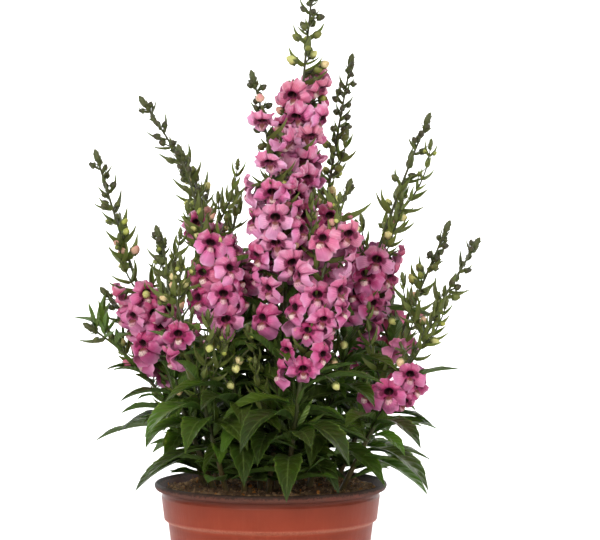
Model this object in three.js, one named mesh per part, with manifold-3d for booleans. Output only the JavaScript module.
// A potted angelonia: a thin plastic nursery pot filled with potting soil, in which
// leafy stems stand. Each stem ends in a raceme, with open two-lipped blooms
// low on it, round buds above them and a tight cluster of young bracts at its tip.
// Millimetres, +Z up, origin at the centre of the pot's base. The camera side is -Y.
import * as THREE from 'three';
import { mergeVertices } from 'three/addons/utils/BufferGeometryUtils.js';
import Module from 'manifold-3d';

const wasm = await Module();
wasm.setup();

// Driving dimensions of the pot and the soil
const POT_RIM_R = 60;
const POT_HEIGHT = 92;
const POT_WALL = 1.2;
const POT_BASE_R = 44;
const POT_SIDES = 24;
const COLLAR_TOP_Z = 85;
const COLLAR_LOW_Z = 73;
const COLLAR_TOP_R = 56.4;
const COLLAR_LOW_R = 54.9;
const BODY_TOP_R = 52.9;
const DRAIN_R = 3.5;
const DRAIN_RING_R = 30;
const DRAIN_COUNT = 3;
const FIT_GAP = 0.3;
const SEED = 14;
const SLIVER = 0.05;
const SOIL_Z = 87.5;
const SOIL_RELIEF = 1.3;
const ROOT_DEPTH = 25;

// Driving dimensions of the plant
const STEM_FOOT_R = 1.9;
const STEM_TIP_R = 0.6;
const STEM_SIDES = 4;
const STEM_STEPS = 6;
const LEAF_HALF_WIDTH = 0.12;
const LEAF_TOP = 0.2;
const LEAF_KEEL = 0.7;
const LEAF_FOLD = 0.3;
const LONG_LEAF = 46;
const BLOOM_SIZE = 11.6;
const BLOOM_REACH = 6.6;
const BLOOM_TUBE = 5.2;
const LEAN_VOLUME = 0.4;
const BLOOM_TURN = 77;
const BUD_LENGTH = 8.4;
const BUD_WIDTH = 0.26;
const BUD_SIDES = 3;
const TIP_LENGTH = 10;
const TIP_R = 2.5;

const PLASTIC = { color: 0xa8452f, roughness: 0.42, metalness: 0 };
const EARTH = { color: 0x2b1c14, roughness: 0.97, metalness: 0 };
const GREEN = { color: 0x2c5419, roughness: 0.55, metalness: 0 };
const PINK = { color: 0xc9457f, roughness: 0.6, metalness: 0 };

// Each stem runs on one smooth curve from its foot in the soil through a middle point
// to its tip. Leaves are [lowest z, highest z, pairs, leaf length], blooms are
// [lowest z, highest z, count, first heading] and buds are [lowest z, highest z, count].
const STEMS = {
  centre: { foot: [2, -2], middle: [9.5, -8, 208], tip: [22.3, -12, 354],
    leaves: [114, 172, 3, 54], blooms: [194, 300, 25, 20], buds: [307, 344, 6] },
  behind_right: { foot: [9, 12], middle: [22, 18, 188], tip: [42.6, 25, 315],
    leaves: [122, 180, 2, 48], blooms: [196, 216, 4, 200], buds: [236, 304, 7] },
  beside_centre: { foot: [-5, -10], middle: [6, -25, 190], tip: [-8.6, -36, 305],
    leaves: [122, 156, 2, 50], blooms: [164, 172, 2, 75], buds: [228, 294, 6] },
  left_high: { foot: [-8, 4], middle: [-14, 6, 177], tip: [-67.3, 5, 293],
    leaves: [120, 168, 2, 56], blooms: [178, 212, 6, 160], buds: [230, 282, 7] },
  left_companion: { foot: [-12, -9], middle: [-22, -21, 166], tip: [-46.9, -14, 268],
    leaves: [124, 154, 2, 54], blooms: [190, 199, 2, 200], buds: [216, 260, 5] },
  left_outer: { foot: [-19, 2], middle: [-58, 2, 163], tip: [-91, 0, 265],
    leaves: [118, 146, 2, 43], blooms: [152, 190, 7, 100], buds: [207, 250, 6] },
  left_inner: { foot: [-16, -15], middle: [-36, -27, 144], tip: [-58.3, -22, 227],
    leaves: [118, 144, 2, 50], blooms: [160, 178, 3, 200], buds: [190, 220, 4] },
  left_low: { foot: [-29.5, 15.5], middle: [-44, 24, 126], tip: [-89, 14, 194],
    leaves: [112, 132, 2, 40], blooms: [0, 0, 0, 0], buds: [158, 182, 4] },
  left_lowest: { foot: [-27, 9], middle: [-52, 13, 127], tip: [-97.5, 10, 176],
    leaves: [112, 144, 2, 38], blooms: [0, 0, 0, 0], buds: [157, 170, 2] },
  right_high: { foot: [14, 2], middle: [43, 4, 173], tip: [82.7, 8, 284],
    leaves: [112, 168, 3, 56], blooms: [176, 208, 6, 20], buds: [222, 272, 7] },
  right_back: { foot: [22, 12], middle: [58, 16, 145], tip: [93.9, 16, 228],
    leaves: [118, 150, 2, 42], blooms: [162, 171, 2, 90], buds: [182, 214, 4] },
  right_outer: { foot: [24, -8], middle: [63, -12, 141], tip: [108, -6, 220],
    leaves: [114, 130, 2, 42], blooms: [132, 156, 5, 200], buds: [170, 212, 5] },
  front_right: { foot: [7, -15], middle: [17, -37, 156], tip: [41, -29, 251],
    leaves: [116, 140, 2, 54], blooms: [148, 222, 12, 190], buds: [232, 243, 2] },
  back_left: { foot: [-11, 17], middle: [-24, 34, 160], tip: [-42, 54, 256],
    leaves: [118, 164, 2, 54], blooms: [184, 200, 3, 30], buds: [218, 248, 3] },
  back_right: { foot: [12, 22], middle: [22, 42, 155], tip: [33, 62, 243],
    leaves: [116, 154, 2, 54], blooms: [172, 188, 3, 10], buds: [206, 236, 3] },
  back_centre: { foot: [-1, 23], middle: [2, 37, 172], tip: [10, 52, 280],
    leaves: [122, 170, 2, 52], blooms: [194, 222, 5, 20], buds: [240, 272, 4] },
  back_low_left: { foot: [-21, 19], middle: [-40, 42, 130], tip: [-60, 62, 194],
    leaves: [110, 140, 2, 52], blooms: [154, 163, 2, 90], buds: [174, 188, 2] },
  back_low_right: { foot: [22, 24], middle: [43, 45, 128], tip: [66, 60, 188],
    leaves: [110, 136, 2, 52], blooms: [148, 157, 2, 20], buds: [170, 182, 2] },
};

// Long leaves of the skirt: [stem, height, heading, length, first slope, last slope],
// with headings in degrees from +X towards +Y, and slopes above the horizon.
const SKIRT = [
  ['left_low', 126, 202, 40, 8, -36], ['left_lowest', 118, 174, 50, 14, -34],
  ['left_inner', 112, 214, 46, 6, -42], ['left_inner', 130, 236, 56, 30, -48],
  ['left_outer', 104, 226, 50, 8, -40], ['left_outer', 136, 214, 36, 26, -30],
  ['centre', 122, 250, 64, 34, -58], ['front_right', 106, 268, 58, 26, -58],
  ['front_right', 126, 240, 60, 34, -56], ['front_right', 118, 300, 62, 36, -54],
  ['right_outer', 106, 318, 50, 4, -42], ['right_outer', 122, 300, 48, 26, -46],
  ['right_outer', 142, 346, 36, 8, -34], ['right_high', 110, 306, 60, 14, -46],
  ['right_high', 180, 346, 44, 12, -22], ['right_back', 108, 6, 44, 12, -32],
  ['left_companion', 110, 262, 60, 30, -56], ['left_companion', 140, 222, 48, 30, -36],
  ['centre', 106, 276, 56, 22, -60], ['left_inner', 122, 258, 56, 34, -50],
  ['right_outer', 108, 290, 56, 22, -56], ['right_high', 134, 296, 52, 40, -40],
  ['beside_centre', 112, 228, 60, 30, -56], ['left_companion', 128, 286, 50, 40, -46],
  ['left_outer', 122, 246, 52, 26, -46], ['right_high', 150, 330, 48, 34, -30],
  ['left_high', 150, 200, 48, 34, -30], ['front_right', 142, 330, 46, 40, -30],
  ['back_low_left', 106, 132, 50, 16, -34], ['back_left', 112, 112, 58, 24, -36],
  ['back_centre', 108, 88, 58, 22, -36], ['back_right', 112, 68, 58, 24, -36],
  ['back_low_right', 106, 44, 50, 14, -34],
];

// A leaf that would touch another stem's growth is turned aside or lifted, in this order.
const TURNS = [0, 11, -11, 22, -22, 34, -34, 47, -47, 62, -62];
const LIFTS = [0, 9, -9, 18, -18, 28];
const BLOOM_TURNS = [0, 14, -14, 28, -28, 42, -42];
const BLOOM_PUSHES = [0, 1.5, 3];

const UP = new THREE.Vector3(0, 0, 1);
const ACROSS = new THREE.Vector3(1, 0, 0);
const radians = THREE.MathUtils.degToRad;

// A repeatable draw from 0 to 1 for a pair of counts.
function chance(a, b) {
  const wave = Math.sin(SEED + a * 12.9898 + b * 78.233) * 43758.5453;
  return wave - Math.floor(wave);
}

function toSolid(geometry) {
  const bare = geometry.index ? geometry.toNonIndexed() : geometry.clone();
  bare.deleteAttribute('normal');
  bare.deleteAttribute('uv');
  const merged = mergeVertices(bare, 1e-4);
  const corners = merged.index.array;
  const kept = [];
  for (let i = 0; i < corners.length; i += 3) {
    const [a, b, c] = [corners[i], corners[i + 1], corners[i + 2]];
    if (a !== b && b !== c && a !== c) kept.push(a, b, c);
  }
  return new wasm.Manifold(new wasm.Mesh({
    numProp: 3,
    vertProperties: merged.attributes.position.array,
    triVerts: new Uint32Array(kept),
  }));
}

function facets(points, faces) {
  const geometry = new THREE.BufferGeometry().setFromPoints(points);
  geometry.setIndex(faces);
  return toSolid(geometry);
}

// A closed skin through rings of points. A ring of one point is a pole. Quads are split
// alike on both faces of a blade, so that its faces never cross.
function loft(rings) {
  const points = rings.flat();
  const faces = [];
  const starts = [];
  rings.reduce((sum, ring) => { starts.push(sum); return sum + ring.length; }, 0);
  for (let i = 0; i + 1 < rings.length; i++) {
    const [a, b] = [starts[i], starts[i + 1]];
    const [na, nb] = [rings[i].length, rings[i + 1].length];
    const n = Math.max(na, nb);
    for (let j = 0; j < n; j++) {
      const k = (j + 1) % n;
      if (na === 1) faces.push(a, b + k, b + j);
      else if (nb === 1) faces.push(a + j, a + k, b);
      else if (j % 2) faces.push(a + j, a + k, b + j, a + k, b + k, b + j);
      else faces.push(a + j, a + k, b + k, a + j, b + k, b + j);
    }
  }
  const last = starts.at(-1);
  for (let j = 1; j + 1 < rings[0].length; j++) faces.push(0, j + 1, j);
  for (let j = 1; j + 1 < rings.at(-1).length; j++) faces.push(last, last + j, last + j + 1);
  return facets(points, faces);
}

const join = (solids) => wasm.Manifold.union(solids);

// Joined growth, with the slivers where its pieces cross taken out
const knit = (solids) => join(solids).simplify(SLIVER);

// A ring square to along, whose first point lies at right angles to lengthwise too
function ringAround(centre, along, radius, sides, lengthwise = UP) {
  const side = new THREE.Vector3().crossVectors(lengthwise, along).normalize();
  const over = new THREE.Vector3().crossVectors(along, side);
  return Array.from({ length: sides }, (_, i) => {
    const turn = (i / sides) * 2 * Math.PI;
    return centre.clone()
      .addScaledVector(side, radius * Math.cos(turn))
      .addScaledVector(over, radius * Math.sin(turn));
  });
}

function latheUp(profile, sides) {
  const points = profile.map(([r, z]) => new THREE.Vector2(r, z));
  return new THREE.LatheGeometry(points, sides).rotateX(Math.PI / 2);
}

// The pot's outside from the base up to the lip's outer edge
function outsideProfile() {
  return [[POT_BASE_R - 1.5, 0], [POT_BASE_R, 1.5],
    [BODY_TOP_R, COLLAR_LOW_Z - 1.4], [COLLAR_LOW_R, COLLAR_LOW_Z],
    [COLLAR_TOP_R, COLLAR_TOP_Z], [COLLAR_TOP_R - 0.9, COLLAR_TOP_Z + 1],
    [COLLAR_TOP_R - 0.7, COLLAR_TOP_Z + 2.4], [POT_RIM_R - 0.8, POT_HEIGHT - 3.4],
    [POT_RIM_R, POT_HEIGHT - 1.6]];
}

function insideProfile() {
  const floor = POT_WALL + 0.4;
  return [[0, floor], [POT_BASE_R - 2.6, floor],
    [BODY_TOP_R - POT_WALL, COLLAR_LOW_Z - 1.2],
    [COLLAR_LOW_R - POT_WALL, COLLAR_LOW_Z + 0.4],
    [COLLAR_TOP_R - POT_WALL - 0.8, COLLAR_TOP_Z + 2.6]];
}

function makePot() {
  const lip = [[POT_RIM_R - 0.5, POT_HEIGHT - 0.3], [POT_RIM_R - 1.6, POT_HEIGHT],
    [COLLAR_TOP_R + 0.6, POT_HEIGHT - 1.6]];
  const profile = [[0, 0], ...outsideProfile(), ...lip, ...insideProfile().reverse()];
  const shell = toSolid(latheUp(profile, POT_SIDES));
  const drains = Array.from({ length: DRAIN_COUNT }, (_, i) => {
    const turn = (i / DRAIN_COUNT) * 2 * Math.PI;
    const drill = new THREE.CylinderGeometry(DRAIN_R, DRAIN_R, 8, 6).rotateX(Math.PI / 2);
    drill.translate(DRAIN_RING_R * Math.cos(turn), DRAIN_RING_R * Math.sin(turn), 0);
    return toSolid(drill);
  });
  return shell.subtract(join(drains));
}

// The soil fills the pot to just under the lip, with a lumpy top given by a formula.
function makeSoil(stemHoles) {
  const [, foot, step, collar, mouth] = insideProfile();
  const rings = [45, 32, 17];
  const profile = [[0, foot[1] + FIT_GAP], [foot[0] - FIT_GAP, foot[1] + FIT_GAP],
    [step[0] - FIT_GAP, step[1]], [collar[0] - FIT_GAP, collar[1]],
    [mouth[0] - FIT_GAP - 0.3, SOIL_Z - 1.2], ...rings.map((r) => [r, SOIL_Z]), [0, SOIL_Z]];
  const geometry = latheUp(profile, POT_SIDES);
  const place = geometry.attributes.position;
  for (let i = 0; i < place.count; i++) {
    const [x, y, z] = [place.getX(i), place.getY(i), place.getZ(i)];
    if (z < SOIL_Z - 0.1) continue;
    const lump = Math.sin(x * 0.31 + 1.7) * Math.cos(y * 0.27 - 0.6) + 0.6 * Math.sin(x * 0.13 - y * 0.21);
    place.setZ(i, z + SOIL_RELIEF * lump);
  }
  return toSolid(geometry).subtract(join(stemHoles));
}

// A stem's curve, with the height of each place on it
function stemCurve(stem) {
  const foot = new THREE.Vector3(...stem.foot, SOIL_Z - ROOT_DEPTH);
  const middle = new THREE.Vector3(...stem.middle);
  const tip = new THREE.Vector3(...stem.tip);
  tip.addScaledVector(tip.clone().sub(middle).normalize(), -TIP_LENGTH);
  const handle = middle.multiplyScalar(2).addScaledVector(foot, -0.5).addScaledVector(tip, -0.5);
  return new THREE.QuadraticBezierCurve3(foot, handle, tip);
}

function shareAtHeight(curve, z) {
  let [low, high] = [0, 1];
  for (let i = 0; i < 40; i++) {
    const half = (low + high) / 2;
    if (onAxis(curve, half).z < z) low = half;
    else high = half;
  }
  return (low + high) / 2;
}

// The place on a stem's axis, which runs straight from bend to bend
function onAxis(curve, share) {
  const bend = Math.min(Math.floor(share * STEM_STEPS), STEM_STEPS - 1);
  return curve.getPoint(bend / STEM_STEPS)
    .lerp(curve.getPoint((bend + 1) / STEM_STEPS), share * STEM_STEPS - bend);
}

function stemRadius(share) {
  return STEM_FOOT_R + (STEM_TIP_R - STEM_FOOT_R) * share;
}

// The stem's shaft, which ends in a tight cluster of young bracts
function shaft(curve, grow) {
  const rings = [];
  for (let i = 0; i <= STEM_STEPS; i++) {
    const share = i / STEM_STEPS;
    const along = curve.getTangent(share).normalize();
    rings.push(ringAround(curve.getPoint(share), along, stemRadius(share) + grow, STEM_SIDES, ACROSS));
  }
  const along = curve.getTangent(1).normalize();
  const up = (length) => curve.getPoint(1).addScaledVector(along, length);
  rings.push(ringAround(up(TIP_LENGTH * 0.4), along, TIP_R + grow, STEM_SIDES, ACROSS));
  rings.push([up(TIP_LENGTH)]);
  return loft(rings);
}

// The frame of something that leaves a stem sideways: out from the stem, and up
function sideways(curve, share, heading, level) {
  const along = level ? UP.clone() : curve.getTangent(share).normalize();
  const flat = new THREE.Vector3(Math.cos(heading), Math.sin(heading), 0);
  const out = flat.addScaledVector(along, -flat.dot(along)).normalize();
  return { root: onAxis(curve, share), out, up: along };
}

// A point, and the directions there, on an arc that leaves root at slope first and ends
// at slope last
function onArc({ root, out, up }, length, first, last, share) {
  const slope = first + (last - first) * share;
  const bend = last - first;
  const point = root.clone()
    .addScaledVector(out, (length * (Math.sin(slope) - Math.sin(first))) / bend)
    .addScaledVector(up, (length * (Math.cos(first) - Math.cos(slope))) / bend);
  const along = out.clone().multiplyScalar(Math.cos(slope)).addScaledVector(up, Math.sin(slope));
  const over = out.clone().multiplyScalar(-Math.sin(slope)).addScaledVector(up, Math.cos(slope));
  return { point, along, over, side: new THREE.Vector3().crossVectors(over, along) };
}

// A pointed blade, folded along its rib, with teeth on each edge
const LONG_OUTLINE = [[0.1, 0.22], [0.42, 0.96], [0.62, 1], [0.69, 0.68], [0.84, 0.48]];
const SHORT_OUTLINE = [[0.12, 0.24], [0.5, 1], [0.64, 0.94], [0.72, 0.56]];
function leafBlade(frame, length, first, last, roll, grow) {
  const outline = length > LONG_LEAF ? LONG_OUTLINE : SHORT_OUTLINE;
  const rings = outline.map(([share, width]) => {
    const at = onArc(frame, length, first, last, share);
    const side = at.side.clone().applyAxisAngle(at.along, roll);
    const over = at.over.clone().applyAxisAngle(at.along, roll);
    const half = length * LEAF_HALF_WIDTH * width + grow;
    const thin = Math.min(1, 0.35 + width);
    const edge = (sign) => at.point.clone()
      .addScaledVector(side, sign * half * Math.cos(LEAF_FOLD))
      .addScaledVector(over, half * Math.sin(LEAF_FOLD));
    return [edge(1), at.point.clone().addScaledVector(over, LEAF_TOP * thin + grow),
      edge(-1), at.point.clone().addScaledVector(over, -LEAF_KEEL * thin - grow)];
  });
  const end = onArc(frame, length + grow, first, last, 1).point;
  return loft([[frame.root], ...rings, [end]]);
}

// A round bud on its short stalk
function budOnStalk(frame, length, slope, grow) {
  const at = (share, radius) => {
    const place = onArc(frame, length, slope, slope + 0.3, share);
    return ringAround(place.point, place.along, radius + grow, BUD_SIDES);
  };
  const end = onArc(frame, length, slope, slope + 0.3, 1).point;
  return loft([[frame.root], at(0.5, 0.45), at(0.7, length * BUD_WIDTH), [end]]);
}

// A flower stalk that widens to the calyx, where the bloom is seated
function flowerStalk(frame, reach, slope, grow) {
  const mouth = onArc(frame, reach, slope, slope - 0.5, 1);
  return loft([[frame.root], ringAround(mouth.point, mouth.along, 1.5 + grow, 3)]);
}

// The five lobes of the corolla, anticlockwise from the upper right one:
// angle, length, half angle, how far the tip and the inner point stand forward
const LOBES = [
  [57, 0.86, 27, -0.14, 0.03], [123, 0.86, 27, -0.14, 0.03], [192, 0.95, 26, -0.06, 0.03],
  [270, 1.12, 29, 0.02, 0.17], [348, 0.95, 26, -0.06, 0.03],
];
const NOTCHES = [[20, 0.4], [90, 0.5], [160, 0.4], [230, 0.44], [310, 0.44]];

// A bloom looks along forward. Its back runs to a point, the tube's end.
function bloomShape(centre, forward, over, size, grow) {
  const side = new THREE.Vector3().crossVectors(over, forward);
  const at = (degrees, radius, lift) => centre.clone()
    .addScaledVector(side, radius * Math.cos(radians(degrees)))
    .addScaledVector(over, radius * Math.sin(radians(degrees)))
    .addScaledVector(forward, lift);
  const edge = size + grow;
  const points = [at(0, 0, -0.19 * size + grow), at(0, 0, -BLOOM_TUBE - grow)];
  LOBES.forEach(([angle, length, half, tip, inner], i) => {
    const [notchAngle, notch] = NOTCHES[i];
    points.push(at(notchAngle, edge * notch, 0),
      at(angle - half, edge * length * 0.82, tip * 0.4 * size),
      at(angle, edge * length, tip * size),
      at(angle + half, edge * length * 0.82, tip * 0.4 * size),
      at(angle, size * 0.36, inner * size + 0.35 + grow));
  });
  const faces = [];
  for (let i = 0; i < 5; i++) {
    const [here, next] = [2 + i * 5, 2 + ((i + 1) % 5) * 5];
    const rim = [here, here + 1, here + 2, here + 3, next];
    const front = here + 4;
    for (let k = 0; k < 4; k++) faces.push(front, rim[k], rim[k + 1], 1, rim[k + 1], rim[k]);
    faces.push(front, next, next + 4, 0, front, next + 4);
  }
  return facets(points, faces);
}

// What has been placed so far. A new piece may touch only pieces of its own node.
const placed = [];

function isClear(solid, node) {
  const box = solid.boundingBox();
  return placed.every((other) => {
    if (other.node === node) return true;
    const apart = [0, 1, 2].some((i) => other.box.min[i] > box.max[i] || other.box.max[i] < box.min[i]);
    if (apart) return true;
    const common = solid.intersect(other.solid);
    const free = common.isEmpty();
    common.delete();
    return free;
  });
}

function leans(solid, node) {
  return placed.some((other) => {
    if (other.node !== node) return false;
    const common = solid.intersect(other.solid);
    const overlap = common.volume();
    common.delete();
    return overlap > LEAN_VOLUME;
  });
}

function place(solid, node) {
  placed.push({ solid, node, box: solid.boundingBox() });
}

const spread = (low, high, count, i) => (count > 1 ? low + ((high - low) * i) / (count - 1) : low);

const stems = Object.entries(STEMS).map(([name, sizes], number) => (
  { name, sizes, number, curve: stemCurve(sizes) }));

const pot = makePot();
const soil = makeSoil(stems.map(({ curve }) => shaft(curve, FIT_GAP)));
place(pot, 'pot');
place(soil, 'soil');
for (const { name, curve } of stems) place(shaft(curve, 0), name);

// Blooms, one after another round the stem. Each one leans, where it can, against a
// bloom of its own spike.
for (const { name, sizes, number, curve } of stems) {
  const [low, high, count, turn] = sizes.blooms;
  for (let i = 0; i < count; i++) {
    const draw = (k) => chance(number * 31 + i, k) - 0.5;
    const height = spread(low, high, count, i) + draw(1) * 3;
    const share = shareAtHeight(curve, height);
    const heading = turn + i * BLOOM_TURN + draw(2) * 16;
    const size = BLOOM_SIZE * (1 - 0.14 * (i / Math.max(1, count - 1))) * (1 + draw(3) * 0.12);
    const slope = radians(32 + draw(4) * 16);
    const attempt = ([aside, push]) => {
      const frame = sideways(curve, share, radians(heading + aside), false);
      const reach = BLOOM_REACH + push + draw(5);
      const mouth = onArc(frame, reach, slope, slope - 0.5, 1);
      const forward = frame.out.clone().addScaledVector(UP, -0.1 + draw(6) * 0.3).normalize();
      const over = UP.clone().addScaledVector(forward, -forward.z).normalize();
      const centre = mouth.point.clone().addScaledVector(forward, BLOOM_TUBE + FIT_GAP);
      const stalk = (grow) => flowerStalk(frame, reach, slope, grow);
      const bloom = (grow) => bloomShape(centre, forward, over, size, grow);
      return { stalk, bloom };
    };
    const petals = `blooms_${name}`;
    const free = BLOOM_PUSHES.flatMap((push) => BLOOM_TURNS.map((aside) => attempt([aside, push])))
      .filter(({ stalk, bloom }) => isClear(bloom(FIT_GAP), petals) && isClear(stalk(FIT_GAP), name));
    const chosen = free.find(({ bloom }) => leans(bloom(0), petals)) ?? free[0];
    if (!chosen) continue;
    place(chosen.stalk(0), name);
    place(chosen.bloom(0), petals);
  }
}

// Buds above the blooms, one after another round the stem
const BUD_TURN = 100;
for (const { name, sizes, number, curve } of stems) {
  const [low, high, count] = sizes.buds;
  for (let i = 0; i < count; i++) {
    const share = shareAtHeight(curve, spread(low, high, count, i));
    const scale = 1 - 0.3 * (i / Math.max(1, count - 1));
    const heading = radians(number * 47 + i * BUD_TURN);
    const frame = sideways(curve, share, heading, false);
    const bud = (grow) => budOnStalk(frame, BUD_LENGTH * scale, 0.75, grow);
    if (isClear(bud(FIT_GAP), name)) place(bud(0), name);
  }
}

// The skirt's long leaves first, then the pairs up each stem
const leaves = SKIRT.map(([name, height, heading, length, first, last]) => (
  { name, height, heading, length, first, last, roll: 0 }));
for (const { name, sizes, number } of stems) {
  const [low, high, pairs, length] = sizes.leaves;
  for (let i = 0; i < pairs * 2; i++) {
    const pair = Math.floor(i / 2);
    const draw = (k) => chance(number * 53 + i, k + 20) - 0.5;
    const upward = pair / Math.max(1, pairs - 1);
    leaves.push({
      name,
      height: spread(low, high, pairs, pair) + draw(1) * 5,
      heading: number * 67 + pair * 90 + (i % 2) * 180 + draw(2) * 36,
      length: length * (1 - 0.32 * upward) * (1 + draw(3) * 0.22),
      first: 40 + 16 * upward + draw(4) * 22,
      last: -34 + 44 * upward + draw(5) * 34,
      roll: draw(6) * 0.7,
    });
  }
}
const curves = Object.fromEntries(stems.map(({ name, curve }) => [name, curve]));
for (const leaf of leaves) {
  const share = shareAtHeight(curves[leaf.name], leaf.height);
  const choices = LIFTS.flatMap((lift) => TURNS.map((aside) => [aside, lift]));
  for (const [aside, lift] of choices) {
    const frame = sideways(curves[leaf.name], share, radians(leaf.heading + aside), true);
    const slopes = [radians(leaf.first + lift), radians(leaf.last + lift)];
    const blade = (grow) => leafBlade(frame, leaf.length, ...slopes, leaf.roll, grow);
    if (!isClear(blade(FIT_GAP), leaf.name)) continue;
    place(blade(0), leaf.name);
    break;
  }
}

function toMesh(solid, name, look) {
  const { numProp, vertProperties, triVerts } = solid.getMesh();
  const places = new Float32Array((vertProperties.length / numProp) * 3);
  for (let i = 0; i * 3 < places.length; i++) {
    places.set(vertProperties.subarray(i * numProp, i * numProp + 3), i * 3);
  }
  const geometry = new THREE.BufferGeometry()
    .setAttribute('position', new THREE.BufferAttribute(places, 3))
    .setIndex(new THREE.BufferAttribute(triVerts, 1));
  geometry.computeVertexNormals();
  const mesh = new THREE.Mesh(geometry, new THREE.MeshStandardMaterial(look));
  mesh.name = name;
  return mesh;
}

const plant = new THREE.Group();
plant.name = 'potted_angelonia';
plant.add(toMesh(pot, 'pot', PLASTIC));
plant.add(toMesh(soil, 'soil', EARTH));
for (const { name } of stems) {
  const organs = placed.filter((piece) => piece.node === name).map((piece) => piece.solid);
  plant.add(toMesh(knit(organs), `stem_${name}`, GREEN));
}
for (const { name } of stems) {
  const petals = placed.filter((piece) => piece.node === `blooms_${name}`).map((piece) => piece.solid);
  knit(petals).decompose().forEach((cluster, i) => {
    plant.add(toMesh(cluster, `blooms_${name}_${i + 1}`, PINK));
  });
}

export default plant;
